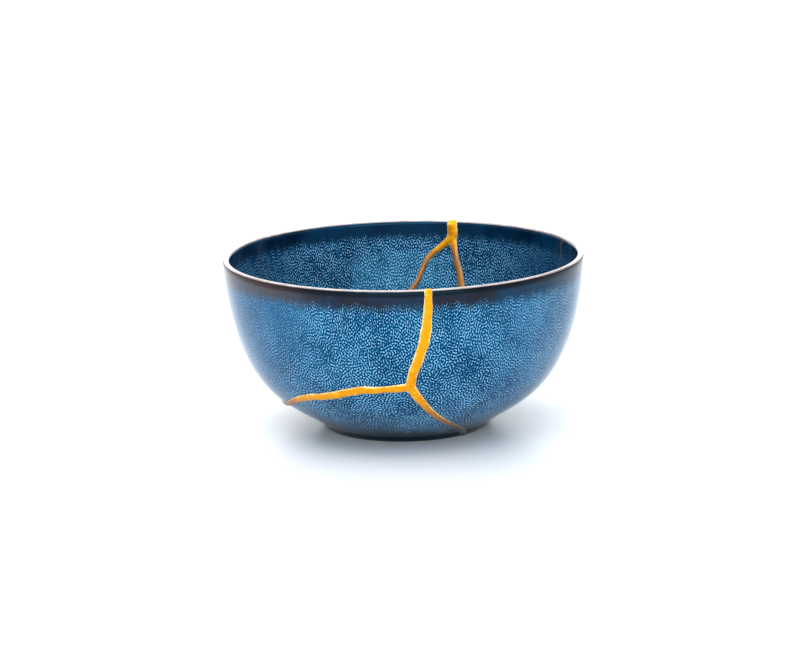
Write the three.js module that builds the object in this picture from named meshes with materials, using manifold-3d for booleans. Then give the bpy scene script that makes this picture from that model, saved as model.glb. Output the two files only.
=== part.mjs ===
// A stoneware bowl that broke into three sherds and was mended with gold lacquer.
// Millimetres, +Z up, +Y away from the front. The origin is under the middle of the foot.
import * as THREE from 'three';
import { LoftGeometry } from 'three/addons/geometries/LoftGeometry.js';
import { mergeVertices } from 'three/addons/utils/BufferGeometryUtils.js';
import Module from 'manifold-3d';

const wasm = await Module();
wasm.setup();

// bowl
const rimRadius = 75;
const height = 72;
const lipThickness = 3;
const footTopRadius = 36.2;
const footBottomRadius = 34.2;
const footHeight = 2.6;
const footRingWidth = 4.6;
const recessDepth = 2.2;
const recessSlope = 2.4;       // width of the slope between the recess and the foot ring
const wallGrowth = 3;          // how much thicker the wall is at the foot than at the lip
const lowerPull = new THREE.Vector2(50.9, 13.5);   // inner control points of the wall's curve
const upperPull = new THREE.Vector2(71.2, 15.8);
const floorHeight = 6.5;       // top of the floor on the axis
const floorSpread = 0.86;      // how far out the floor stays level, as a share of its radius
const aroundBowl = 52;
const wallSteps = 8;
const lipTurns = [45, 90, 135];     // degrees over the round lip, outside to inside
const floorShares = [0.75, 0.4, 0]; // profile points from the inner wall's foot to the axis

// mended joint
const beadHalfWidth = 1.9;
const beadHeight = 0.8;
const shoulderWidth = 0.62;    // the bead's shoulder, as shares of its half width and height
const shoulderHeight = 0.78;
const lipOverrun = 0.45;       // how far the joint stands up over the lip
const webHalfWidth = 0.45;     // lacquer inside the break
const undercut = 0.9;          // depth at which the bead has narrowed to the web
const clearance = 0.3;
const seamStep = 7.5;          // distance between two sections of a seam
const finerSteps = 3;          // more sections for each step where a seam crosses the foot ring
const footRingReach = 6;       // distance from the ring's edge within which that holds
const dropSides = 10;
const dropRings = 6;
const groundClearance = 0.2;   // the joint is ground flush under the foot

const lipRadius = lipThickness / 2;
const lipCentreHeight = height - lipRadius;

const glazeLook = { color: 0x2a5d8c, roughness: 0.22, metalness: 0 };
const goldLook = { color: 0xe39a1c, roughness: 0.35, metalness: 0.7 };

// Outer wall in (radius, height): a straight flare out of the foot that rounds up to the lip.
const outerWall = new THREE.CubicBezierCurve(
  new THREE.Vector2(footTopRadius, footHeight),
  lowerPull,
  upperPull,
  new THREE.Vector2(rimRadius, lipCentreHeight),
);
outerWall.arcLengthDivisions = 400;
const wallLength = outerWall.getLength();

// The inner wall lies one wall thickness inside, square to the outer one.
function innerWallPoint(share) {
  const onOuter = outerWall.getPointAt(share);
  const along = outerWall.getTangentAt(share);
  const thickness = lipThickness + wallGrowth * (1 - share) ** 2;
  return new THREE.Vector2(onOuter.x - along.y * thickness, onOuter.y + along.x * thickness);
}

// The floor runs on from the inner wall and levels out at the axis.
const wallFootInside = innerWallPoint(0);
const floorCurve = new THREE.QuadraticBezierCurve(
  new THREE.Vector2(0, floorHeight),
  new THREE.Vector2(wallFootInside.x * floorSpread, floorHeight),
  wallFootInside,
);

// The underside, from the axis out: recess, inside of the foot ring, resting face, outside.
const ringInnerRadius = footBottomRadius - footRingWidth;
const underside = [
  new THREE.Vector2(0, recessDepth),
  new THREE.Vector2(ringInnerRadius - recessSlope, recessDepth),
  new THREE.Vector2(ringInnerRadius, 0),
  new THREE.Vector2(footBottomRadius, 0),
  new THREE.Vector2(footTopRadius, footHeight),
];

// A station is a distance out from the axis along the underside and then up the wall.
const lipStation = footTopRadius + wallLength;

function outerPoint(station) {
  if (station > footTopRadius) return outerWall.getPointAt((station - footTopRadius) / wallLength);
  const last = underside.length - 1;
  let i = 1;
  while (i < last && underside[i].x < station) i += 1;
  const share = (station - underside[i - 1].x) / (underside[i].x - underside[i - 1].x);
  return underside[i - 1].clone().lerp(underside[i], Math.min(share, 1));
}

function innerPoint(station) {
  if (station > footTopRadius) return innerWallPoint((station - footTopRadius) / wallLength);
  return floorCurve.getPoint(station / footTopRadius);
}

const mergeWithin = 1e-4;

// A closed surface as a solid: shared vertices are merged and collapsed triangles dropped.
function solidFrom(geometry) {
  const bare = new THREE.BufferGeometry();
  bare.setAttribute('position', geometry.attributes.position);
  bare.setIndex(geometry.index);
  const merged = mergeVertices(bare, mergeWithin);
  const corners = Array.from(merged.index.array);
  const kept = [];
  for (let i = 0; i < corners.length; i += 3) {
    const [a, b, c] = corners.slice(i, i + 3);
    if (a !== b && b !== c && c !== a) kept.push(a, b, c);
  }
  return new wasm.Manifold(new wasm.Mesh({
    numProp: 3,
    vertProperties: new Float32Array(merged.attributes.position.array),
    triVerts: new Uint32Array(kept),
  }));
}

function geometryFrom(solid) {
  const mesh = solid.getMesh();
  const geometry = new THREE.BufferGeometry();
  geometry.setAttribute('position', new THREE.BufferAttribute(mesh.vertProperties, 3));
  geometry.setIndex(new THREE.BufferAttribute(mesh.triVerts, 1));
  geometry.computeVertexNormals();
  return geometry;
}

// The whole bowl before it broke, turned from one closed profile.
function wholeBowl() {
  const profile = [...underside];
  for (let i = 1; i <= wallSteps; i += 1) profile.push(outerWall.getPointAt(i / wallSteps));
  for (const turn of lipTurns) {
    const angle = THREE.MathUtils.degToRad(turn);
    profile.push(new THREE.Vector2(
      rimRadius - lipRadius + lipRadius * Math.cos(angle),
      lipCentreHeight + lipRadius * Math.sin(angle),
    ));
  }
  for (let i = wallSteps; i >= 0; i -= 1) profile.push(innerWallPoint(i / wallSteps));
  for (const share of floorShares) profile.push(floorCurve.getPoint(share));
  const lathe = new THREE.LatheGeometry(profile, aroundBowl);
  lathe.rotateX(Math.PI / 2);
  return solidFrom(lathe);
}

// The bowl is unrolled into a flat disc: a point's direction from the centre is its bearing
// round the bowl (0 at the front, positive to the right) and its distance is its station.
function onDisc(bearing, station) {
  const angle = THREE.MathUtils.degToRad(bearing);
  return new THREE.Vector2(station * Math.sin(angle), -station * Math.cos(angle));
}

const frontRim = onDisc(7.4, lipStation);
const frontJunction = onDisc(1.4, 78.5);
const backJunction = onDisc(162.5, 113.5);
const backRim = onDisc(162.6, lipStation);

const seamRoutes = [
  // down the front from the rim
  [frontRim, onDisc(6.9, 107.5), onDisc(5.6, 97.5), onDisc(2.8, 87), frontJunction],
  // low round the left side and up the back
  [
    frontJunction, onDisc(-20, 75.4), onDisc(-41, 69), onDisc(-59, 60.5), onDisc(-85, 53),
    onDisc(-115, 52), onDisc(-143, 60), onDisc(-166, 74), onDisc(-183.5, 91.5),
    onDisc(-189.6, 104), backJunction,
  ],
  // over the foot, under the bowl and up the back
  [
    frontJunction, onDisc(5.4, 70.5), onDisc(14.3, 57.2), onDisc(27, 45.5), onDisc(41, 35),
    onDisc(68, 23), onDisc(112, 18), onDisc(148, 33), onDisc(155.5, 58), onDisc(158, 90),
    onDisc(161, 104.5), backJunction,
  ],
  // the short stem from the back junction to the rim
  [backJunction, backRim],
];

// Where a disc point lies on the outer and the inner surface of the bowl.
function throughWall(point) {
  const station = Math.min(point.length(), lipStation);
  const across = point.clone().normalize();
  const lift = (flat) => new THREE.Vector3(across.x * flat.x, across.y * flat.x, flat.y);
  return { outside: lift(outerPoint(station)), inside: lift(innerPoint(station)) };
}

// One section of a seam, anticlockwise seen from the end: a bead outside, a thin web in the
// break and a bead inside. spare widens it all round, to cut the room it needs.
function seamSection(outside, inside, along, spare) {
  const up = outside.clone().sub(inside);
  const thickness = up.length();
  up.normalize();
  const side = along.clone().cross(up).normalize();
  const bead = beadHalfWidth + spare;
  const web = webHalfWidth + spare;
  const depth = undercut + spare;
  const half = [
    [bead * shoulderWidth, thickness + beadHeight * shoulderHeight],
    [bead, thickness],
    [web, thickness - depth],
    [web, depth],
    [bead, 0],
    [bead * shoulderWidth, -beadHeight * shoulderHeight],
  ];
  const outline = [
    ...half,
    [0, -beadHeight],
    ...half.map(([x, z]) => [-x, z]).reverse(),
    [0, thickness + beadHeight],
  ];
  return outline.map(([x, z]) => inside.clone().addScaledVector(side, x).addScaledVector(up, z));
}

function sweptSeam(route, spare) {
  const curve = new THREE.SplineCurve(route);
  const steps = Math.max(2, Math.round(curve.getLength() / seamStep));
  const nearFootRing = (point) => Math.abs(point.length() - footBottomRadius) < footRingReach;
  const stops = curve.getSpacedPoints(steps * finerSteps)
    .filter((point, i) => i % finerSteps === 0 || nearFootRing(point))
    .map(throughWall);
  const middles = stops.map(({ outside, inside }) => outside.clone().lerp(inside, 0.5));
  const last = stops.length - 1;
  const sections = stops.map(({ outside, inside }, i) => {
    const along = middles[Math.min(i + 1, last)].clone().sub(middles[Math.max(i - 1, 0)]);
    return seamSection(outside, inside, along.normalize(), spare);
  });
  return solidFrom(new LoftGeometry(sections, { capStart: true, capEnd: true }));
}

// Drops of lacquer through the wall, where seams meet or run over the lip.
const drops = [
  { at: frontRim, halfWidth: beadHalfWidth, halfHeight: lipRadius + lipOverrun },
  { at: backRim, halfWidth: beadHalfWidth * 1.15, halfHeight: lipRadius + lipOverrun },
  { at: frontJunction, halfWidth: beadHalfWidth * 1.5, halfHeight: beadHalfWidth * 1.5 },
  { at: backJunction, halfWidth: beadHalfWidth * 1.4, halfHeight: beadHalfWidth * 1.8 },
];

function lacquerDrop({ at, halfWidth, halfHeight }, spare) {
  const { outside, inside } = throughWall(at);
  const middle = outside.clone().lerp(inside, 0.5);
  const across = outside.clone().sub(inside);
  const drop = new THREE.SphereGeometry(1, dropSides, dropRings);
  drop.scale(halfWidth + spare, across.length() / 2 + beadHeight + spare, halfHeight + spare);
  const turn = new THREE.Quaternion().setFromUnitVectors(
    new THREE.Vector3(0, 1, 0),
    across.clone().normalize(),
  );
  drop.applyQuaternion(turn);
  drop.translate(middle.x, middle.y, middle.z);
  return solidFrom(drop);
}

function wholeSeam(spare) {
  const pieces = [
    ...seamRoutes.map((route) => sweptSeam(route, spare)),
    ...drops.map((drop) => lacquerDrop(drop, spare)),
  ];
  return pieces.reduce((joined, piece) => joined.add(piece));
}

// Everything under the foot's resting face, which the joint doesn't reach.
function ground() {
  const across = rimRadius * 2;
  const slab = new THREE.BoxGeometry(across, across, across);
  slab.translate(0, 0, groundClearance - across / 2);
  return solidFrom(slab);
}

const sherds = wholeBowl().subtract(wholeSeam(clearance)).decompose();
const highest = (solid) => solid.boundingBox().max[2];
const midX = (solid) => (solid.boundingBox().max[0] + solid.boundingBox().min[0]) / 2;
sherds.sort((a, b) => highest(a) - highest(b));
const footSherd = sherds[0];
const [leftSherd, rightSherd] = sherds.slice(1).sort((a, b) => midX(a) - midX(b));

function addNode(group, name, solid, look) {
  const mesh = new THREE.Mesh(geometryFrom(solid), new THREE.MeshStandardMaterial(look));
  mesh.name = name;
  group.add(mesh);
}

const bowl = new THREE.Group();
addNode(bowl, 'left_sherd', leftSherd, glazeLook);
addNode(bowl, 'right_sherd', rightSherd, glazeLook);
addNode(bowl, 'foot_sherd', footSherd, glazeLook);
addNode(bowl, 'gold_seam', wholeSeam(0).subtract(ground()), goldLook);

export default bowl;
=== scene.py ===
import math
import bpy
import bmesh
import numpy as np
from mathutils import Matrix, Vector


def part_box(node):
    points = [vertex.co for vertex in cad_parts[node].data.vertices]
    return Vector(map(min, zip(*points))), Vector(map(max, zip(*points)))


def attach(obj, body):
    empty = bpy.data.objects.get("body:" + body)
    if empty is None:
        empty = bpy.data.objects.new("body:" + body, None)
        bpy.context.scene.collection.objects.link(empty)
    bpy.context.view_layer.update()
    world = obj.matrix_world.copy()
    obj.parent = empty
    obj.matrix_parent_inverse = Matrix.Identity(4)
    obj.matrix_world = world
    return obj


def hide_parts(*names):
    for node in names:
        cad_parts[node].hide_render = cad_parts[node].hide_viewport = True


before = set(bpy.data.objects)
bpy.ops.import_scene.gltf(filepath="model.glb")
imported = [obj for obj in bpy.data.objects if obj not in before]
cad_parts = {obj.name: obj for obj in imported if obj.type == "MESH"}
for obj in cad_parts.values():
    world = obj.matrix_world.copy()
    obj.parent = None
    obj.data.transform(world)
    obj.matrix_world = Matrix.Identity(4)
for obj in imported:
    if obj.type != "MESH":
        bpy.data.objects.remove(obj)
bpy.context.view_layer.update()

mm = 0.001

view = {
    "distance": 1.5,
    "elevation": 12.76,       # degrees above the floor
    "roll": 1.26,             # degrees, the bowl leans to the left
    "lens": 162.95,
    "lookAt": (0.0, 0.0, 0.035),
    "centreOffset": (-3.36, 6.63),  # mm at the bowl, from lookAt to the middle of the picture
}


def makeCamera():
    # stands in front (-Y) at the given elevation and points a little up and left of the bowl
    rise = math.radians(view["elevation"])
    back = Vector((0.0, -math.cos(rise), math.sin(rise)))
    right = Vector((1.0, 0.0, 0.0))
    up = right.cross(-back)
    turn = Matrix.Rotation(math.radians(view["roll"]), 3, back)
    right = turn.inverted() @ right
    up = turn.inverted() @ up
    lookAt = Vector(view["lookAt"])
    place = lookAt + back * view["distance"]
    aside, above = view["centreOffset"]
    aim = lookAt + right * aside * mm + up * above * mm
    back = (place - aim).normalized()
    right = up.cross(back).normalized()
    up = back.cross(right)
    data = bpy.data.cameras.new("viewCamera")
    data.lens = view["lens"]
    camera = bpy.data.objects.new("viewCamera", data)
    bpy.context.collection.objects.link(camera)
    camera.matrix_world = Matrix((
        (right.x, up.x, back.x, place.x),
        (right.y, up.y, back.y, place.y),
        (right.z, up.z, back.z, place.z),
        (0, 0, 0, 1)))
    bpy.context.scene.camera = camera


def newMaterial(name):
    # the material, its node tree and its shader
    paint = bpy.data.materials.new(name)
    paint.use_nodes = True
    tree = paint.node_tree
    return paint, tree, tree.nodes["Principled BSDF"]


def addNode(tree, kind, values=None, **settings):
    # values go into the node's sockets, as links or as numbers; settings are its own options
    node = tree.nodes.new("ShaderNode" + kind)
    for key, value in settings.items():
        setattr(node, key, value)
    for key, value in (values or {}).items():
        if isinstance(value, bpy.types.NodeSocket):
            tree.links.new(value, node.inputs[key])
        else:
            node.inputs[key].default_value = value
    return node


def noiseAt(tree, coords, scale, detail=2.0, rough=0.5):
    # cloudy noise around 0.5, with scale clouds to the metre
    return addNode(tree, "TexNoise", {"Vector": coords, "Scale": scale, "Detail": detail,
                                      "Roughness": rough}).outputs["Fac"]


def math2(tree, operation, a, b=0.0):
    return addNode(tree, "Math", {0: a, 1: b}, operation=operation).outputs[0]


def ramp(tree, value, low, high, toLow=0.0, toHigh=1.0):
    # smooth step from toLow to toHigh as value goes from low to high
    return addNode(tree, "MapRange", {"Value": value, "From Min": low, "From Max": high,
                                      "To Min": toLow, "To Max": toHigh},
                   interpolation_type="SMOOTHSTEP").outputs[0]


def blendColour(tree, share, a, b):
    # colour a at share 0 and b at share 1
    node = tree.nodes.new("ShaderNodeMix")
    node.data_type = "RGBA"
    for socket, value in ((node.inputs[0], share), (node.inputs[6], a), (node.inputs[7], b)):
        if isinstance(value, bpy.types.NodeSocket):
            tree.links.new(value, socket)
        elif isinstance(value, tuple):
            socket.default_value = (*value, 1)
        else:
            socket.default_value = value
    return node.outputs[2]


# softboxes: middle, point that they face, width and height in metres, radiance, tint
softboxes = {
    "overhead": {"place": (-0.2, -0.1, 1.5), "aim": (0, 0, 0.03), "size": (1.9, 1.6),
                 "radiance": 2.2, "tint": (1.0, 1.0, 1.0)},
    "front": {"place": (0.30, -2.25, 0.58), "aim": (0, 0, 0.05), "size": (2.6, 0.95),
              "radiance": 3.0, "tint": (0.80, 0.93, 1.0)},
    "frontLeft": {"place": (-1.05, -2.1, 0.62), "aim": (0, 0, 0.05), "size": (0.75, 0.75),
                  "radiance": 1.4, "tint": (0.80, 0.93, 1.0)},
    "behind": {"place": (0.0, 2.4, 0.75), "aim": (0, 0, 0.05), "size": (3.6, 1.2),
               "radiance": 0.9, "tint": (1.0, 0.99, 0.98)},
    "lipStrip": {"place": (0.0, 0.9, 1.15), "aim": (0, 0, 0.07), "size": (1.9, 0.05),
                 "radiance": 14.0, "tint": (1.0, 0.98, 0.96)},
}
room = {"tint": (0.92, 0.96, 1.0), "fill": 0.95, "seen": 1.0}


def makeLights():
    # power of a softbox = radiance x pi x its area
    for name, light in softboxes.items():
        data = bpy.data.lights.new(name + "Softbox", "AREA")
        data.shape = "RECTANGLE"
        data.size, data.size_y = light["size"]
        data.energy = light["radiance"] * math.pi * data.size * data.size_y
        data.color = light["tint"]
        lamp = bpy.data.objects.new(name + "Softbox", data)
        bpy.context.collection.objects.link(lamp)
        lamp.location = light["place"]
        toward = Vector(light["aim"]) - lamp.location
        lamp.rotation_euler = toward.to_track_quat("-Z", "Y").to_euler()
        lamp.visible_camera = False
    # the room is pale behind the bowl and lights it more softly
    world = bpy.data.worlds.new("paleRoom")
    world.use_nodes = True
    tree = world.node_tree
    background = tree.nodes["Background"]
    background.inputs["Color"].default_value = (*room["tint"], 1)
    strength = addNode(tree, "Mix", {0: addNode(tree, "LightPath").outputs["Is Camera Ray"],
                                     2: room["fill"], 3: room["seen"]})
    tree.links.new(strength.outputs[0], background.inputs["Strength"])
    bpy.context.scene.world = world
    bpy.context.scene.view_settings.view_transform = "Standard"


table = {"reach": 6.0, "colour": (0.88, 0.90, 0.92), "roughness": 0.32}


def makeFloor():
    # a wide flat table under the bowl
    reach = table["reach"]
    data = bpy.data.meshes.new("studioFloor")
    data.from_pydata([(-reach, -reach, 0), (reach, -reach, 0), (reach, reach, 0), (-reach, reach, 0)],
                     [], [(0, 1, 2, 3)])
    floor = bpy.data.objects.new("studioFloor", data)
    bpy.context.collection.objects.link(floor)
    paint = bpy.data.materials.new("whiteTable")
    paint.use_nodes = True
    shader = paint.node_tree.nodes["Principled BSDF"]
    shader.inputs["Base Color"].default_value = (*table["colour"], 1)
    shader.inputs["Roughness"].default_value = table["roughness"]
    data.materials.append(paint)


makeCamera()
makeLights()
makeFloor()
print("stage ready")

# shape of the bowl, in millimetres

leftLow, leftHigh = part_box("left_sherd")
bowl = {
    "rimRadius": -leftLow[0] / mm,
    "height": leftHigh[2] / mm,
    "lipThickness": 3.0,
    "footTopRadius": 36.2,
    "footBottomRadius": 34.2,
    "footHeight": 2.6,
    "footRingWidth": 4.6,
    "recessDepth": 2.2,
    "recessSlope": 2.4,       # width of the slope between the recess and the foot ring
    "wallGrowth": 3.0,        # how much thicker the wall is at the foot than at the lip
    "floorHeight": 6.5,
    "floorSpread": 0.86,      # how far out the floor stays level, as a share of its radius
    "lowerPull": (50.9, 13.5),  # the two inner control points of the wall's Bezier curve
    "upperPull": (71.2, 15.8),
    "cornerSoftness": 0.7,
    "softUpTo": 3.0,          # how far up the wall the softened line goes, and how slowly it ends
    "softFade": 4.0,
    "waver": 0.10,            # hand-made unevenness of the wall, and the length of its waves
    "waverSize": 60.0,
    "waverFrom": 42.0,        # station where the unevenness starts, and how slowly
    "waverFade": 14.0,
    "waverLipFade": 20.0,
}
lipRadius = bowl["lipThickness"] / 2
lipCentreHeight = bowl["height"] - lipRadius


def bezierWall(steps=1200):
    # cubic Bezier curve: (1-t)^3 a + 3(1-t)^2 t b + 3(1-t) t^2 c + t^3 d, and its direction
    t = np.linspace(0, 1, steps)[:, None]
    a = np.array((bowl["footTopRadius"], bowl["footHeight"]))
    b = np.array(bowl["lowerPull"])
    c = np.array(bowl["upperPull"])
    d = np.array((bowl["rimRadius"], lipCentreHeight))
    place = (1 - t) ** 3 * a + 3 * (1 - t) ** 2 * t * b + 3 * (1 - t) * t ** 2 * c + t ** 3 * d
    slope = 3 * (1 - t) ** 2 * (b - a) + 6 * (1 - t) * t * (c - b) + 3 * t ** 2 * (d - c)
    return place, slope / np.linalg.norm(slope, axis=1, keepdims=True)


wallPlace, wallSlope = bezierWall()
wallRun = np.concatenate(([0], np.cumsum(np.linalg.norm(np.diff(wallPlace, axis=0), axis=1))))
lipStation = bowl["footTopRadius"] + wallRun[-1]


def outerTable():
    # underside as straight stretches, then the wall; corners near the foot are softened by
    # averaging the line over a short window
    ringInner = bowl["footBottomRadius"] - bowl["footRingWidth"]
    underRadius = [0, ringInner - bowl["recessSlope"], ringInner, bowl["footBottomRadius"]]
    underHeight = [bowl["recessDepth"], bowl["recessDepth"], 0, 0]
    radius = np.concatenate((underRadius, wallPlace[:, 0]))
    heightAt = np.concatenate((underHeight, wallPlace[:, 1]))
    station = np.concatenate((underRadius, bowl["footTopRadius"] + wallRun))
    spacing = 0.05
    even = np.arange(0, lipStation + spacing, spacing)
    r = np.interp(even, station, radius)
    z = np.interp(even, station, heightAt)
    window = np.hanning(int(2 * bowl["cornerSoftness"] / spacing) | 1)
    window /= window.sum()
    half = len(window) // 2
    softR = np.convolve(np.pad(r, half, mode="reflect", reflect_type="odd"), window, "valid")
    softZ = np.convolve(np.pad(z, half, mode="edge"), window, "valid")
    upWall = np.clip((even - bowl["footTopRadius"] - bowl["softUpTo"]) / bowl["softFade"], 0, 1)
    return even, softR + (r - softR) * upWall, softZ + (z - softZ) * upWall


def innerTable():
    # one wall thickness inside the outer wall and square to it; the floor is a quadratic
    # Bezier curve from the axis to the foot of the inner wall
    share = wallRun / wallRun[-1]
    thick = bowl["lipThickness"] + bowl["wallGrowth"] * (1 - share) ** 2
    r = wallPlace[:, 0] - wallSlope[:, 1] * thick
    z = wallPlace[:, 1] + wallSlope[:, 0] * thick
    t = np.linspace(0, 1, 200)[:-1]
    floorR = 2 * (1 - t) * t * r[0] * bowl["floorSpread"] + t ** 2 * r[0]
    level = bowl["floorHeight"]
    floorZ = (1 - t) ** 2 * level + 2 * (1 - t) * t * level + t ** 2 * z[0]
    station = np.concatenate((t * bowl["footTopRadius"], bowl["footTopRadius"] + wallRun))
    return station, np.concatenate((floorR, r)), np.concatenate((floorZ, z))


outerStation, outerR, outerZ = outerTable()
innerStation, innerR, innerZ = innerTable()


def softNoise(points, size, seed, waves=24):
    # sum of sine waves in seeded directions; size is the length of one wave
    rng = np.random.default_rng(seed)
    way = rng.normal(size=(waves, 3))
    way /= np.linalg.norm(way, axis=1, keepdims=True)
    way *= (2 * math.pi / size) * rng.uniform(0.7, 1.4, (waves, 1))
    phase = rng.uniform(0, 2 * math.pi, waves)
    return np.sin(points @ way.T + phase).sum(axis=-1) / math.sqrt(waves / 2)


def liftFromDisc(disc, side):
    # the bowl is unrolled into a disc: direction from the centre is the bearing round the
    # bowl and distance is the station along its profile; side is "outer" or "inner"
    station = np.linalg.norm(disc, axis=-1)
    across = disc / np.maximum(station, 1e-6)[..., None]
    if side == "outer":
        r = np.interp(station, outerStation, outerR)
        z = np.interp(station, outerStation, outerZ)
    else:
        r = np.interp(station, innerStation, innerR)
        z = np.interp(station, innerStation, innerZ)
    flat = np.concatenate((across * r[..., None], z[..., None]), axis=-1)
    # the wall wavers gently, but neither at the lip nor under the foot
    fade = (np.clip((lipStation - station) / bowl["waverLipFade"], 0, 1)
            * np.clip((station - bowl["waverFrom"]) / bowl["waverFade"], 0, 1))
    push = bowl["waver"] * fade * softNoise(flat, bowl["waverSize"], 3)
    flat[..., :2] += across * push[..., None]
    return flat


def onDisc(bearing, station):
    # bearing in degrees, 0 at the front and positive to the right; station in millimetres
    angle = math.radians(bearing)
    return (station * math.sin(angle), -station * math.cos(angle))


def splineThrough(points, steps):
    # Catmull-Rom curve through the points, sampled evenly along its length
    p = np.array(points, dtype=float)
    pad = np.vstack((p[:1], p, p[-1:]))
    t = np.linspace(0, len(p) - 1, 2000)
    i = np.minimum(t.astype(int), len(p) - 2)
    w = (t - i)[:, None]
    a, b, c, d = pad[i], pad[i + 1], pad[i + 2], pad[i + 3]
    v0 = (c - a) / 2
    v1 = (d - b) / 2
    line = ((2 * b - 2 * c + v0 + v1) * w ** 3 + (-3 * b + 3 * c - 2 * v0 - v1) * w ** 2
            + v0 * w + b)
    run = np.concatenate(([0], np.cumsum(np.linalg.norm(np.diff(line[:, :2], axis=0), axis=1))))
    even = np.linspace(0, run[-1], steps)
    return np.stack([np.interp(even, run, line[:, k]) for k in range(line.shape[1])], axis=-1)


# bearing and station of the points where seams meet or cross the rim
frontRim, frontFork = (7.4, lipStation), (1.4, 78.5)
backRim, backFork = (162.6, lipStation), (162.5, 113.5)
backForkFromLeft = (backFork[0] - 360, backFork[1])   # the same point, reached round the left

# each stop: bearing, station, half width of the bead outside and inside, and the painted light on the
# gold outside and inside, from 0, painted deep shade in grey, over 0.35, painted half shade in copper,
# to 1, full gold
seams = {
    "front": [
        (*frontRim, 1.75, 1.7, 1.0, 0.5), (6.9, 107.5, 2.25, 1.8, 1.0, 0.5),
        (5.6, 97.5, 2.4, 1.8, 1.0, 0.5), (2.8, 87, 2.2, 1.7, 0.95, 0.5),
        (*frontFork, 2.2, 1.8, 0.9, 0.5)],
    "left": [
        (*frontFork, 2.1, 1.8, 0.8, 0.5), (-9, 77.2, 1.8, 1.7, 0.78, 0.5),
        (-20, 75.4, 2.2, 1.7, 1.0, 0.5), (-41, 69, 1.75, 1.7, 0.8, 0.5),
        (-59, 60.5, 1.4, 1.6, 0.2, 0.4), (-85, 53, 1.9, 1.6, 0.4, 0.4),
        (-115, 52, 2.0, 1.7, 0.6, 0.4), (-143, 60, 1.9, 1.6, 0.7, 0.35),
        (-166, 74, 1.9, 1.5, 0.8, 0.32), (-184.0, 91.8, 1.9, 1.2, 0.8, 0.36),
        (-189.0, 104, 1.9, 1.35, 0.9, 0.5), (*backForkFromLeft, 2.0, 1.8, 1.0, 1.0)],
    "under": [
        (*frontFork, 2.1, 1.8, 0.9, 0.5), (5.4, 70.5, 1.9, 1.8, 0.72, 0.5),
        (14.3, 57.2, 1.55, 1.7, 0.42, 0.5), (27, 45.5, 1.35, 1.6, 0.1, 0.4),
        (41, 35, 1.5, 1.6, 0.0, 0.4), (68, 23, 1.6, 1.6, 0.3, 0.4),
        (112, 18, 1.6, 1.6, 0.3, 0.4), (148, 33, 1.7, 1.6, 0.4, 0.5),
        (155.5, 58, 1.9, 1.6, 0.7, 0.7), (158, 90, 1.9, 1.6, 0.8, 0.5),
        (161, 104.5, 1.9, 1.6, 0.9, 0.4), (*backFork, 2.1, 2.1, 1.0, 1.0)],
    "back": [(*backFork, 2.1, 2.7, 1.0, 1.0), (*backRim, 2.1, 2.3, 1.0, 1.0)],
}


def seamLine(name, steps):
    stops = [onDisc(bearing, station) + tuple(rest) for bearing, station, *rest in seams[name]]
    return splineThrough(stops, steps)


def toPolar(disc):
    # bearing in radians, carried on without a jump, and station
    bearing = np.unwrap(np.arctan2(disc[:, 0], -disc[:, 1]))
    return np.stack((bearing, np.linalg.norm(disc, axis=1)), axis=-1)


def fromPolar(polar):
    bearing, station = polar[..., 0], polar[..., 1]
    return np.stack((station * np.sin(bearing), -station * np.cos(bearing)), axis=-1)


sherdGrid = {
    "alongLip": 330,
    "upWall": 72,
    "lip": 10,
    "footRows": 102,          # rows of the foot sherd, between its two seams
    "gap": 0.75,              # from the break line to the sherd's edge
    "sharpFrom": 50.0,        # degrees at which an edge stays sharp
}


def evenedOut(edge):
    # resampled at shares halfway between equal lengths and equal bearings, so that the lines
    # that join it to the lip run across the sherd without folding
    run = np.concatenate(([0], np.cumsum(np.linalg.norm(np.diff(fromPolar(edge), axis=0), axis=1))))
    turn = np.abs(edge[:, 0] - edge[0, 0])
    key = run / run[-1] + turn / turn[-1]
    key = np.maximum.accumulate(key + np.arange(len(key)) * 1e-9) / key[-1]
    return along(edge, np.linspace(0, 1, len(edge)), key)


def along(edge, share, key=None):
    # the point at each share of an edge, whose own points stand at the shares in key
    key = np.linspace(0, 1, len(edge)) if key is None else key
    return np.stack([np.interp(share, key, edge[:, k]) for k in range(2)], axis=-1)


def inset(count, nearGap, farGap):
    # shares from nearGap to 1 - farGap; both gaps may be arrays
    t = np.linspace(0, 1, count)
    return np.asarray(nearGap)[..., None] + (1 - np.asarray(nearGap) - np.asarray(farGap))[..., None] * t


def rimSherdDisc(lowerName, backTurns):
    # Coons patch in bearing and station: the lip above, a long seam below, and the front and
    # back stems at the two ends
    many = 600
    lower = evenedOut(toPolar(seamLine(lowerName, many)[:, :2]))
    frontStem = toPolar(seamLine("front", many)[::-1, :2])
    backStem = toPolar(seamLine("back", many)[:, :2])
    backStem[:, 0] += 2 * math.pi * backTurns
    lip = np.stack((np.linspace(frontStem[-1, 0], backStem[-1, 0], many),
                    np.full(many, lipStation)), axis=-1)
    columns, rows = sherdGrid["alongLip"], sherdGrid["upWall"]
    gap = sherdGrid["gap"]
    length = np.linalg.norm(np.diff(fromPolar(lip), axis=0), axis=1).sum()
    a = np.linspace(gap / length, 1 - gap / length, columns)
    climb = np.linalg.norm(fromPolar(along(lip, a)) - fromPolar(along(lower, a)), axis=1)
    b = inset(rows, gap / np.maximum(climb, 2 * gap), np.zeros(columns))
    a = np.broadcast_to(a[:, None], b.shape)
    low, high = along(lower, a), along(lip, a)
    start, end = along(frontStem, b), along(backStem, b)
    aa, bb = a[..., None], b[..., None]
    corners = ((1 - aa) * (1 - bb) * lower[0] + aa * (1 - bb) * lower[-1]
               + (1 - aa) * bb * lip[0] + aa * bb * lip[-1])
    return fromPolar((1 - bb) * low + bb * high + (1 - aa) * start + aa * end - corners)


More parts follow.
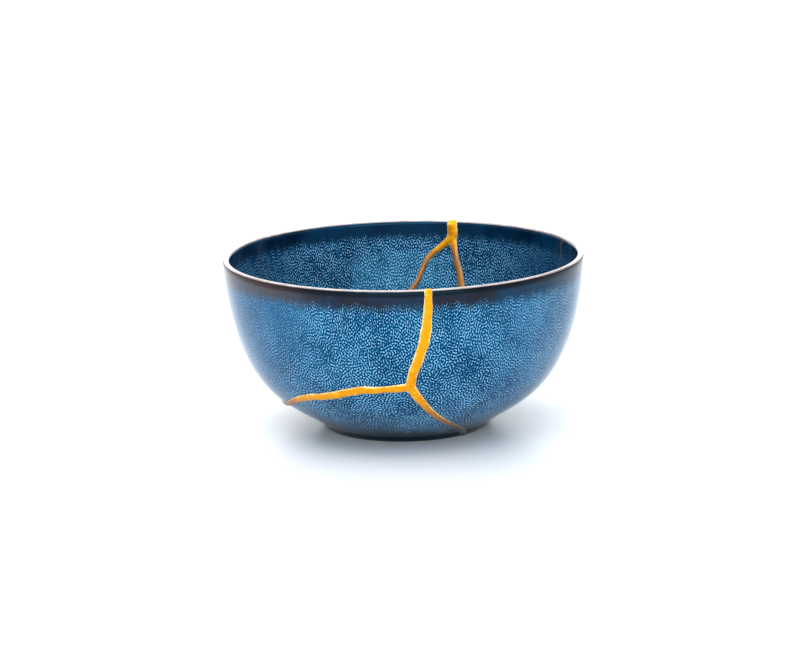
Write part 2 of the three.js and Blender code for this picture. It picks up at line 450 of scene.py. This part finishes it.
def footSherdDisc():
    # straight rows on the disc between the left seam and the seam under the foot; the two
    # pointed ends are cut off where the gold hides them
    many = 900
    left = seamLine("left", many)[:, :2]
    under = seamLine("under", many)[:, :2]
    width = np.linalg.norm(left - under, axis=1)
    wide = np.nonzero(width > 4 * sherdGrid["gap"])[0]
    a = np.linspace(wide[0], wide[-1], sherdGrid["alongLip"]) / (many - 1)
    start, end = along(left, a), along(under, a)
    share = sherdGrid["gap"] / np.linalg.norm(start - end, axis=1)
    b = inset(sherdGrid["footRows"], share, share)[..., None]
    return start[:, None] * (1 - b) + end[:, None] * b


def sherdShell(name, disc, withLip):
    # a closed ring of points for each column: up the outside, over the lip as a half circle,
    # down the inside; the last edge of the ring is the break through the wall
    outer = liftFromDisc(disc, "outer")
    inner = liftFromDisc(disc, "inner")[:, ::-1]
    rings = [outer, inner]
    if withLip:
        turn = np.linspace(0, math.pi, sherdGrid["lip"] + 2)[1:-1]
        across = disc[:, -1] / np.linalg.norm(disc[:, -1], axis=1, keepdims=True)
        middle = bowl["rimRadius"] - lipRadius
        radius = middle + lipRadius * np.cos(turn)
        rise = lipCentreHeight + lipRadius * np.sin(turn)
        lip = np.concatenate((across[:, None] * radius[None, :, None],
                              np.broadcast_to(rise[None, :, None], (len(disc), len(turn), 1))), axis=-1)
        rings.insert(1, lip)
    ring = np.concatenate(rings, axis=1)
    columns, count = ring.shape[:2]
    index = np.arange(columns * count).reshape(columns, count)
    wrap = np.roll(index, -1, axis=1)
    sides = np.stack((index[:-1], index[1:], wrap[1:], wrap[:-1]), axis=-1).reshape(-1, 4)
    half = np.arange(count // 2 - 1)
    capStart = np.stack((index[0, half], index[0, half + 1],
                         index[0, count - 2 - half], index[0, count - 1 - half]), axis=-1)
    capEnd = np.stack((index[-1, half], index[-1, count - 1 - half],
                       index[-1, count - 2 - half], index[-1, half + 1]), axis=-1)
    faces = np.concatenate((sides, capStart, capEnd))
    # faces past the middle of the ring are inside the bowl; the break takes the outer finish
    step = np.tile(np.arange(count), columns - 1)
    pastMiddle = (step >= count // 2) & (step < count - 1)
    inside = np.concatenate((pastMiddle, np.zeros(2 * len(half), bool)))
    piece = meshPiece(name, ring.reshape(-1, 3), faces, inside.astype(np.int32))
    unroll(piece.data)
    return piece


def unroll(data):
    # the map holds each point's place on the unrolled disc, in metres: the way out from the axis
    # times the station at its height on the outer wall or, below the wall, its own radius
    points = np.empty(len(data.vertices) * 3)
    data.vertices.foreach_get("co", points)
    points = points.reshape(-1, 3) / mm
    station = np.interp(points[:, 2], wallPlace[:, 1], bowl["footTopRadius"] + wallRun)
    reach = np.linalg.norm(points[:, :2], axis=1)
    station = np.where(points[:, 2] > bowl["footHeight"], station, reach)
    outward = points[:, :2] / np.maximum(reach, 1e-6)[:, None]
    disc = outward * station[:, None] * mm
    corners = np.empty(len(data.loops), dtype=np.int32)
    data.loops.foreach_get("vertex_index", corners)
    data.uv_layers.new(name="unrolled").data.foreach_set("uv", disc[corners].ravel())


def meshPiece(name, points, faces, finishes):
    # turned right side out by the sign of the enclosed volume
    a, b, c, d = (points[faces[:, k]] for k in range(4))
    volume = (np.cross(a, b) * c).sum() + (np.cross(a, c) * d).sum()
    if volume < 0:
        faces = faces[:, ::-1]
    data = bpy.data.meshes.new(name)
    data.from_pydata(points * mm, [], faces.tolist())
    data.polygons.foreach_set("material_index", finishes)
    data.shade_smooth()
    data.set_sharp_from_angle(angle=math.radians(sherdGrid["sharpFrom"]))
    piece = bpy.data.objects.new(name, data)
    bpy.context.collection.objects.link(piece)
    return piece


leftSherd = sherdShell("leftSherd", rimSherdDisc("left", -1), True)
rightSherd = sherdShell("rightSherd", rimSherdDisc("under", 0), True)
footSherd = sherdShell("footSherd", footSherdDisc(), False)
print("sherds ready:", [len(piece.data.polygons) for piece in (leftSherd, rightSherd, footSherd)])

gold = {
    "rise": 0.80,             # height of the bead above the glaze
    "flatness": 0.62,         # under 1 gives a flat top with round shoulders
    "overLip": 0.25,          # height of the bead above the lip
    "web": 0.45,              # half thickness of the lacquer inside the break
    "undercut": 1.0,
    "step": 0.6,
    "around": 30,
    "lumps": 0.03,            # share by which the width swells and narrows
    "lumpSizes": (7.0, 2.8, 6.0),   # outside, small ones outside, inside
    "wander": 0.10,           # sideways drift of the line, and the length of its waves
    "wanderSize": 9.0,
    "dropFaces": (24, 32),    # rings and sides of a drop
    "lipFaces": (25, 40),     # across and round a bead on the lip
    "lipTurn": (-25.0, 205.0),  # degrees over the lip, outside to inside
    "voxel": 0.38,
    "smoothing": 6,
    "groundClearance": 0.15,
    "sideBlend": 1.5,         # depth over which the outer tones pass into the inner ones
}


def beadSection(outer, inner, thickness):
    # hourglass outline in (across, out of the wall): two domes, w cos t across and
    # h (sin t)^flatness up, joined by a thin web
    turn = np.linspace(0, math.pi, gold["around"] // 2)
    domeX, domeZ = np.cos(turn), gold["rise"] * np.sin(turn) ** gold["flatness"]
    outer, inner, thickness = outer[:, None], inner[:, None], thickness[:, None]
    web = np.full_like(outer, gold["web"])
    deep = np.full_like(outer, gold["undercut"])
    across = (outer * domeX, -web, -web, -inner * domeX, web, web)
    inward = np.broadcast_to(-domeZ, (len(thickness), len(domeZ)))
    out = (thickness + domeZ, thickness - deep, deep, inward, deep, thickness - deep)
    return np.stack((np.concatenate(across, axis=1), np.concatenate(out, axis=1)), axis=-1)


def seamFrame(name):
    # for each step along a seam: place inside, way out of the wall, wall thickness, way across,
    # sideways drift and the values of the stops
    line = seamLine(name, 2000)
    length = np.linalg.norm(np.diff(line[:, :2], axis=0), axis=1).sum()
    line = seamLine(name, max(6, int(length / gold["step"])))
    outerSpot, innerSpot = liftFromDisc(line[:, :2], "outer"), liftFromDisc(line[:, :2], "inner")
    up = outerSpot - innerSpot
    thickness = np.linalg.norm(up, axis=1)
    up /= thickness[:, None]
    across = np.cross(np.gradient((outerSpot + innerSpot) / 2, axis=0), up)
    across /= np.linalg.norm(across, axis=1, keepdims=True)
    ends = np.sin(np.linspace(0, math.pi, len(line))) ** 0.3
    seed = 10 * list(seams).index(name)
    drift = gold["wander"] * ends * softNoise(outerSpot, gold["wanderSize"], seed + 3)
    large, small, within = gold["lumpSizes"]
    line[:, 2] *= (1 + gold["lumps"] * softNoise(outerSpot, large, seed)
                   + 0.5 * gold["lumps"] * softNoise(outerSpot, small, seed + 1))
    line[:, 3] *= 1 + gold["lumps"] * softNoise(innerSpot, within, seed + 2)
    return innerSpot + across * drift[:, None], up, thickness, across, line[:, 2:]


def sweptSeam(name):
    # the section is carried along the seam, square to the wall
    foot, up, thickness, across, values = seamFrame(name)
    section = beadSection(values[:, 0], values[:, 1], thickness)
    return closedSweep(foot[:, None] + across[:, None] * section[..., :1]
                       + up[:, None] * section[..., 1:])


def closedSweep(ring):
    # quads round a row of closed sections, and a fan to the middle of each end section
    rows, count = ring.shape[:2]
    index = np.arange(rows * count).reshape(rows, count)
    nextOne = np.roll(index, -1, axis=1)
    sides = np.stack((index[:-1], nextOne[:-1], nextOne[1:], index[1:]), axis=-1).reshape(-1, 4)
    points = np.concatenate((ring.reshape(-1, 3), ring[[0, -1]].mean(axis=1)))
    first, last = rows * count, rows * count + 1
    fanA = np.stack((nextOne[0], index[0], np.full(count, first)), axis=-1)
    fanB = np.stack((index[-1], nextOne[-1], np.full(count, last)), axis=-1)
    return points, sides.tolist() + fanA.tolist() + fanB.tolist()


def lacquerDrop(discPoint, halfWidth, halfHeight):
    # ellipsoid through the wall: longitude and latitude, squeezed along the wall's normal
    spot = np.array([discPoint])
    outerSpot, innerSpot = liftFromDisc(spot, "outer")[0], liftFromDisc(spot, "inner")[0]
    up = outerSpot - innerSpot
    reach = np.linalg.norm(up) / 2 + gold["rise"]
    up /= np.linalg.norm(up)
    side = np.cross((0, 0, 1), up)
    side /= np.linalg.norm(side)
    lift = np.cross(up, side)
    rings, sides = gold["dropFaces"]
    latitude = np.linspace(-math.pi / 2, math.pi / 2, rings)[1:-1]
    longitude = np.linspace(0, 2 * math.pi, sides, endpoint=False)
    lat, lon = np.meshgrid(latitude, longitude, indexing="ij")
    ring = ((outerSpot + innerSpot) / 2
            + (np.cos(lat) * np.cos(lon))[..., None] * side * halfWidth
            + (np.cos(lat) * np.sin(lon))[..., None] * up * reach
            + np.sin(lat)[..., None] * lift * halfHeight)
    return closedSweep(ring)


def overTheLip(bearing, halfWidth):
    # the bead carried over the round lip: for each step across, an arc about the lip's centre
    # with radius lip radius + rise (1 - across^4)^(1/2)
    angle = math.radians(bearing)
    radial = np.array((math.sin(angle), -math.cos(angle), 0))
    side = np.array((math.cos(angle), math.sin(angle), 0))
    upward = np.array((0, 0, 1))
    acrossCount, roundCount = gold["lipFaces"]
    share = np.linspace(-1, 1, acrossCount)[:, None, None]
    first, last = map(math.radians, gold["lipTurn"])
    turn = np.linspace(first, last, roundCount)[None, :, None]
    radius = lipRadius + gold["overLip"] * np.sqrt(np.maximum(1 - share ** 4, 0.02))
    centre = radial * (bowl["rimRadius"] - lipRadius) + upward * lipCentreHeight
    ring = centre + side * share * halfWidth + radius * (radial * np.cos(turn) + upward * np.sin(turn))
    return closedSweep(ring)


# place, half width and half height of the drops; bearing and half width where the rim is crossed
drops = {"frontFork": (onDisc(*frontFork), 2.8, 2.8), "backFork": (onDisc(*backFork), 2.9, 3.4)}
lipCrossings = {"front": (frontRim[0], 1.75), "back": (backRim[0], 2.35)}


def joinedGold():
    # every sweep and drop in one mesh
    parts = [sweptSeam(name) for name in seams]
    parts += [lacquerDrop(*drop) for drop in drops.values()]
    parts += [overTheLip(*crossing) for crossing in lipCrossings.values()]
    allPoints, allFaces, offset = [], [], 0
    for points, faces in parts:
        allPoints.append(points)
        allFaces += [[i + offset for i in face] for face in faces]
        offset += len(points)
    points = np.concatenate(allPoints)
    points[:, 2] = np.maximum(points[:, 2], gold["groundClearance"])
    data = bpy.data.meshes.new("goldRough")
    data.from_pydata(points * mm, [], allFaces)
    shape = bmesh.new()
    shape.from_mesh(data)
    bmesh.ops.recalc_face_normals(shape, faces=shape.faces)
    shape.to_mesh(data)
    shape.free()
    return data


def markGold(data):
    # each point takes the values of the nearest step of a seam: "edge" is its distance across
    # in half widths, "goldLight", the painted light and shade, mixes the outer and the inner value by
    # the side that it is on
    frames = [seamFrame(name) for name in seams]
    foot, up, thickness, across, values = (np.concatenate(part) for part in zip(*frames))
    middle = foot + up * thickness[:, None] / 2
    points = np.empty(len(data.vertices) * 3)
    data.vertices.foreach_get("co", points)
    points = points.reshape(-1, 3) / mm
    nearest = np.concatenate([
        ((middle ** 2).sum(axis=1) - 2 * chunk @ middle.T).argmin(axis=1)
        for chunk in np.array_split(points, max(1, len(points) // 8000))])
    away = points - middle[nearest]
    outward = np.clip((away * up[nearest]).sum(axis=1) / gold["sideBlend"], -1, 1) / 2 + 0.5
    half = values[nearest, 0] * outward + values[nearest, 1] * (1 - outward)
    marks = {
        "edge": np.abs((away * across[nearest]).sum(axis=1)) / half,
        "goldLight": values[nearest, 2] * outward + values[nearest, 3] * (1 - outward),
    }
    for key, value in marks.items():
        layer = data.attributes.new(key, "FLOAT", "POINT")
        layer.data.foreach_set("value", value.astype(np.float32))


def makeGold():
    # the joined sweeps, skinned over and smoothed
    rough = bpy.data.objects.new("goldRough", joinedGold())
    bpy.context.collection.objects.link(rough)
    skin = rough.modifiers.new("skin", "REMESH")
    skin.mode = "VOXEL"
    skin.voxel_size = gold["voxel"] * mm
    flow = rough.modifiers.new("flow", "SMOOTH")
    flow.factor = 0.5
    flow.iterations = gold["smoothing"]
    graph = bpy.context.evaluated_depsgraph_get()
    smooth = bpy.data.meshes.new_from_object(rough.evaluated_get(graph))
    bpy.data.objects.remove(rough)
    smooth.name = "goldSeam"
    smooth.shade_smooth()
    markGold(smooth)
    piece = bpy.data.objects.new("goldSeam", smooth)
    bpy.context.collection.objects.link(piece)
    return piece


goldSeam = makeGold()
print("gold ready:", len(goldSeam.data.polygons))


# colours are linear; the pattern goes from deep over mid to pale
outerGlaze = {
    "deep": (0.0, 0.010, 0.040), "mid": (0.001, 0.062, 0.155), "pale": (0.17, 0.42, 0.64),
    # the side light tone and the band's side colours are painted sheen toward the left and right of the
    # outside
    "sideLightTone": (0.024, 0.110, 0.235), "paleFrom": 0.51, "paleTo": 0.67,
    "band": (0.018, 0.006, 0.006),
    "bandPaintedLeft": (0.060, 0.048, 0.052), "bandPaintedRight": (0.006, 0.018, 0.040),
    "bandFrom": 61.5, "bandTo": 67.0, "ior": 1.37, "veil": (0.05, 0.50, 0.80),
    "sideLightLeft": 0.55, "sideLightRight": 0.35,
}
innerGlaze = {
    "deep": (0.0, 0.009, 0.033), "mid": (0.001, 0.060, 0.145), "pale": (0.19, 0.45, 0.68),
    # the side light tone and the band's side colours are painted shade toward the left and right inside
    "sideLightTone": (0.0, 0.026, 0.072), "paleFrom": 0.52, "paleTo": 0.66,
    "band": (0.005, 0.018, 0.042),
    "bandPaintedLeft": (0.0, 0.004, 0.014), "bandPaintedRight": (0.0, 0.005, 0.016),
    "bandFrom": 62.5, "bandTo": 67.0, "ior": 1.40, "veil": (0.15, 0.62, 0.95),
    "sideLightLeft": 0.45, "sideLightRight": 0.75,
}
glaze = {
    "curls": 340.0,           # cells to the metre
    "curlWaves": 2.2,         # lines in a cell
    "curlFrom": 0.40, "curlTo": 0.52,    # pattern values over which deep turns to mid
    "grain": 1500.0, "grainShare": 0.22,
    "cloud": 70.0, "cloudShare": 0.20,
    "sideFrom": 22.0, "sideTo": 62.0,    # mm from the middle where the painted side light sets in
    "sideCloud": 38.0, "sideDrift": 60.0,
    "streak": 480.0, "streakStretch": 0.16,
    "relief": 160.0, "reliefStrength": 0.10, "reliefDepth": 0.0002,
    "glossCloud": 90.0, "smoothest": 0.05, "roughest": 0.12,
    "ragged": 3.2,            # how far the bands' edges run up and down
    "footFrom": 11.0, "footTo": 3.0, "foot": (0.0, 0.007, 0.016),
    # the lip is dark brown; its lighter colour at the left is painted haze
    "lip": (0.006, 0.001, 0.0005), "lipPaintedLeft": (0.034, 0.011, 0.006),
    "lipFrom": 68.9, "lipTo": 69.7,      # outside
    "lipInsideFrom": 71.2, "lipInsideTo": 71.6,
    # painted highlight along the lip's crest, dimmer at the right
    "lipHighlight": (0.50, 0.41, 0.39), "lipHighlightRight": (0.35, 0.25, 0.24),
    "lipHighlightFrom": 71.3, "lipHighlightTo": 71.85,
    "highlightPatchScale": 200.0, "highlightPatchLow": 0.55,       # how far the painted highlight on the crest fades in patches
    "crestRoughness": 0.05,
    "clay": (0.20, 0.16, 0.13), "clayFrom": 0.30, "clayTo": 0.12, "clayRoughness": 0.85,
}


def curlPattern(tree, coords):
    # band-limited Gabor waves in every direction on the unrolled disc; the disc is squeezed
    # sideways as it rises to the rim, which draws the curls out into upright streaks
    unrolled = addNode(tree, "UVMap", uv_map="unrolled").outputs[0]
    waves = addNode(tree, "TexGabor", {"Vector": unrolled, "Scale": glaze["curls"],
                                       "Frequency": glaze["curlWaves"], "Anisotropy": 0.0},
                    gabor_type="2D").outputs["Value"]
    grain = noiseAt(tree, coords, glaze["grain"], 1.0)
    grain = math2(tree, "SUBTRACT", grain, 0.5)
    return math2(tree, "ADD", waves, math2(tree, "MULTIPLY", grain, glaze["grainShare"]))


def glazeFinish(name, tones, outside):
    # the pattern's colours, then the band, the foot and the lip laid over them by height
    paint, tree, shader = newMaterial(name)
    coords = addNode(tree, "TexCoord").outputs["Object"]
    place = addNode(tree, "SeparateXYZ", {0: coords})
    aside = math2(tree, "MULTIPLY", place.outputs["X"], 1 / mm)
    height = math2(tree, "MULTIPLY", place.outputs["Z"], 1 / mm)
    # shares of painted side light toward the left and right: sheen outside, shade inside
    drift = math2(tree, "SUBTRACT", noiseAt(tree, coords, glaze["sideCloud"], 2.0), 0.5)
    aside = math2(tree, "ADD", aside, math2(tree, "MULTIPLY", drift, glaze["sideDrift"]))
    leftSideLight = ramp(tree, aside, -glaze["sideFrom"], -glaze["sideTo"])
    rightSideLight = ramp(tree, aside, glaze["sideFrom"], glaze["sideTo"])

    # the curls, paler in clouds, blended toward the sides into a painted sheen outside and painted shade
    # inside
    curls = curlPattern(tree, coords)
    cloud = math2(tree, "SUBTRACT", noiseAt(tree, coords, glaze["cloud"], 3.0), 0.5)
    curls = math2(tree, "ADD", curls, math2(tree, "MULTIPLY", cloud, glaze["cloudShare"]))
    lit = ramp(tree, curls, glaze["curlFrom"], glaze["curlTo"])
    skin = blendColour(tree, lit, tones["deep"], tones["mid"])
    palest = ramp(tree, curls, tones["paleFrom"], tones["paleTo"])
    skin = blendColour(tree, palest, skin, tones["pale"])
    sideLightShare = math2(tree, "ADD", math2(tree, "MULTIPLY", leftSideLight, tones["sideLightLeft"]),
                 math2(tree, "MULTIPLY", rightSideLight, tones["sideLightRight"]))
    skin = blendColour(tree, sideLightShare, skin, tones["sideLightTone"])

    # the band under the rim, with streaks that run out of it
    upright = (1, 1, glaze["streakStretch"])
    fine = addNode(tree, "Mapping", {"Vector": coords, "Scale": upright}).outputs[0]
    streak = math2(tree, "SUBTRACT", noiseAt(tree, fine, glaze["streak"], 2.0, 0.6), 0.5)
    ragged = math2(tree, "ADD", height, math2(tree, "MULTIPLY", streak, 2 * glaze["ragged"]))
    ragged = math2(tree, "ADD", ragged, math2(tree, "MULTIPLY", cloud, glaze["ragged"]))
    # the band's colours toward the sides are painted side light
    band = blendColour(tree, leftSideLight, tones["band"], tones["bandPaintedLeft"])
    band = blendColour(tree, rightSideLight, band, tones["bandPaintedRight"])
    band = blendColour(tree, ramp(tree, cloud, -0.15, 0.2, 0.0, 0.3), band, tones["mid"])
    banded = ramp(tree, ragged, tones["bandFrom"], tones["bandTo"])
    skin = blendColour(tree, banded, skin, band)
    gloss = ramp(tree, noiseAt(tree, coords, glaze["glossCloud"], 3.0), 0.3, 0.7,
                 glaze["smoothest"], glaze["roughest"])
    if outside:
        low = ramp(tree, ragged, glaze["footFrom"], glaze["footTo"])
        skin = blendColour(tree, low, skin, glaze["foot"])
        bare = ramp(tree, height, glaze["clayFrom"], glaze["clayTo"])
        skin = blendColour(tree, bare, skin, glaze["clay"])
        gloss = math2(tree, "MAXIMUM", gloss, math2(tree, "MULTIPLY", bare, glaze["clayRoughness"]))

    # the lip, where the glaze runs thin: dark below, lighter at the left as painted haze, with a painted
    # highlight along the crest
    lip = blendColour(tree, leftSideLight, glaze["lip"], glaze["lipPaintedLeft"])
    darkFrom, darkTo = ("lipFrom", "lipTo") if outside else ("lipInsideFrom", "lipInsideTo")
    skin = blendColour(tree, ramp(tree, height, glaze[darkFrom], glaze[darkTo]), skin, lip)
    # painted highlight along the crest, broken into patches; the crest also gets a clear coat
    line = blendColour(tree, rightSideLight, glaze["lipHighlight"], glaze["lipHighlightRight"])
    crest = ramp(tree, height, glaze["lipHighlightFrom"], glaze["lipHighlightTo"])
    highlightPatches = ramp(tree, noiseAt(tree, coords, glaze["highlightPatchScale"], 2.0), 0.2, 0.6, glaze["highlightPatchLow"], 1.0)
    skin = blendColour(tree, math2(tree, "MULTIPLY", crest, highlightPatches), skin, line)
    tree.links.new(skin, shader.inputs["Base Color"])
    tree.links.new(gloss, shader.inputs["Roughness"])
    tree.links.new(crest, shader.inputs["Coat Weight"])
    shader.inputs["Coat Roughness"].default_value = glaze["crestRoughness"]
    shader.inputs["IOR"].default_value = tones["ior"]
    shader.inputs["Specular Tint"].default_value = (*tones["veil"], 1)
    relief = addNode(tree, "Bump", {"Strength": glaze["reliefStrength"],
                                    "Distance": glaze["reliefDepth"],
                                    "Height": noiseAt(tree, coords, glaze["relief"], 3.0)})
    tree.links.new(relief.outputs[0], shader.inputs["Normal"])
    return paint


goldLook = {
    "full": (0.80, 0.30, 0.0), "deep": (0.62, 0.19, 0.0), "yellow": (0.92, 0.43, 0.012),
    # the copper and the grey are painted shade on the gold
    "halfShadeCopper": (0.40, 0.15, 0.040), "deepShadeGrey": (0.12, 0.09, 0.075),
    # the edge tones are painted highlights along both edges of the bead, dimmer in the painted shade
    "edge": (1.0, 0.80, 0.46), "deepShadeEdge": (0.34, 0.26, 0.20),
    "edgeFrom": 0.66, "edgeTo": 0.92, "metal": 0.5,
    "edgeShare": 0.85,        # how much of the painted edge highlight shows
    "cloud": 150.0, "cloudShare": 0.35, "brush": 420.0,
    "relief": 700.0, "reliefStrength": 0.15, "reliefDepth": 0.0002,
    "glossCloud": 300.0, "smoothest": 0.22, "roughest": 0.40, "ior": 1.3,
}


def goldFinish():
    # tones by the mesh's painted light ("goldLight") and "edge" attributes, stirred by clouds and brush
    # marks; the edges get a painted highlight
    paint, tree, shader = newMaterial("goldLacquer")
    coords = addNode(tree, "TexCoord").outputs["Object"]
    edge = addNode(tree, "Attribute", attribute_name="edge").outputs["Fac"]
    goldLight = addNode(tree, "Attribute", attribute_name="goldLight").outputs["Fac"]
    cloud = math2(tree, "SUBTRACT", noiseAt(tree, coords, goldLook["cloud"], 3.0), 0.5)
    goldLight = math2(tree, "ADD", goldLight, math2(tree, "MULTIPLY", cloud, goldLook["cloudShare"]))

    # painted shade from grey over copper to full gold, with brush marks of deeper orange and yellow
    body = blendColour(tree, ramp(tree, goldLight, 0.05, 0.35), goldLook["deepShadeGrey"], goldLook["halfShadeCopper"])
    mark = noiseAt(tree, coords, goldLook["brush"], 3.0, 0.6)
    full = blendColour(tree, ramp(tree, mark, 0.42, 0.30), goldLook["full"], goldLook["deep"])
    full = blendColour(tree, ramp(tree, mark, 0.55, 0.70), full, goldLook["yellow"])
    body = blendColour(tree, ramp(tree, goldLight, 0.35, 0.80), body, full)
    # painted highlight along both edges of the bead, darker where the gold is in painted shade
    pale = blendColour(tree, ramp(tree, goldLight, 0.1, 0.5), goldLook["deepShadeEdge"], goldLook["edge"])
    stirred = math2(tree, "MULTIPLY", math2(tree, "SUBTRACT", mark, 0.5), 0.5)
    edgeHighlightReach = math2(tree, "ADD", edge, stirred)
    rim = ramp(tree, edgeHighlightReach, goldLook["edgeFrom"], goldLook["edgeTo"], 0.0,
               goldLook["edgeShare"])
    body = blendColour(tree, rim, body, pale)
    tree.links.new(body, shader.inputs["Base Color"])
    shader.inputs["Metallic"].default_value = goldLook["metal"]
    gloss = ramp(tree, noiseAt(tree, coords, goldLook["glossCloud"], 4.0), 0.3, 0.7,
                 goldLook["smoothest"], goldLook["roughest"])
    tree.links.new(gloss, shader.inputs["Roughness"])
    shader.inputs["IOR"].default_value = goldLook["ior"]
    relief = addNode(tree, "Bump", {"Strength": goldLook["reliefStrength"],
                                    "Distance": goldLook["reliefDepth"],
                                    "Height": noiseAt(tree, coords, goldLook["relief"], 4.0, 0.6)})
    tree.links.new(relief.outputs[0], shader.inputs["Normal"])
    return paint


glazePaints = (glazeFinish("outerGlaze", outerGlaze, True), glazeFinish("innerGlaze", innerGlaze, False))
for piece in (leftSherd, rightSherd, footSherd):
    for paint in glazePaints:
        piece.data.materials.append(paint)
goldSeam.data.materials.append(goldFinish())
print("finishes ready")

for piece, node, slot in (
        (leftSherd, "left_sherd", "blue_glaze"), (rightSherd, "right_sherd", "blue_glaze"),
        (footSherd, "foot_sherd", "blue_glaze"), (goldSeam, "gold_seam", "gold_lacquer")):
    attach(piece, "root")
    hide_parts(node)
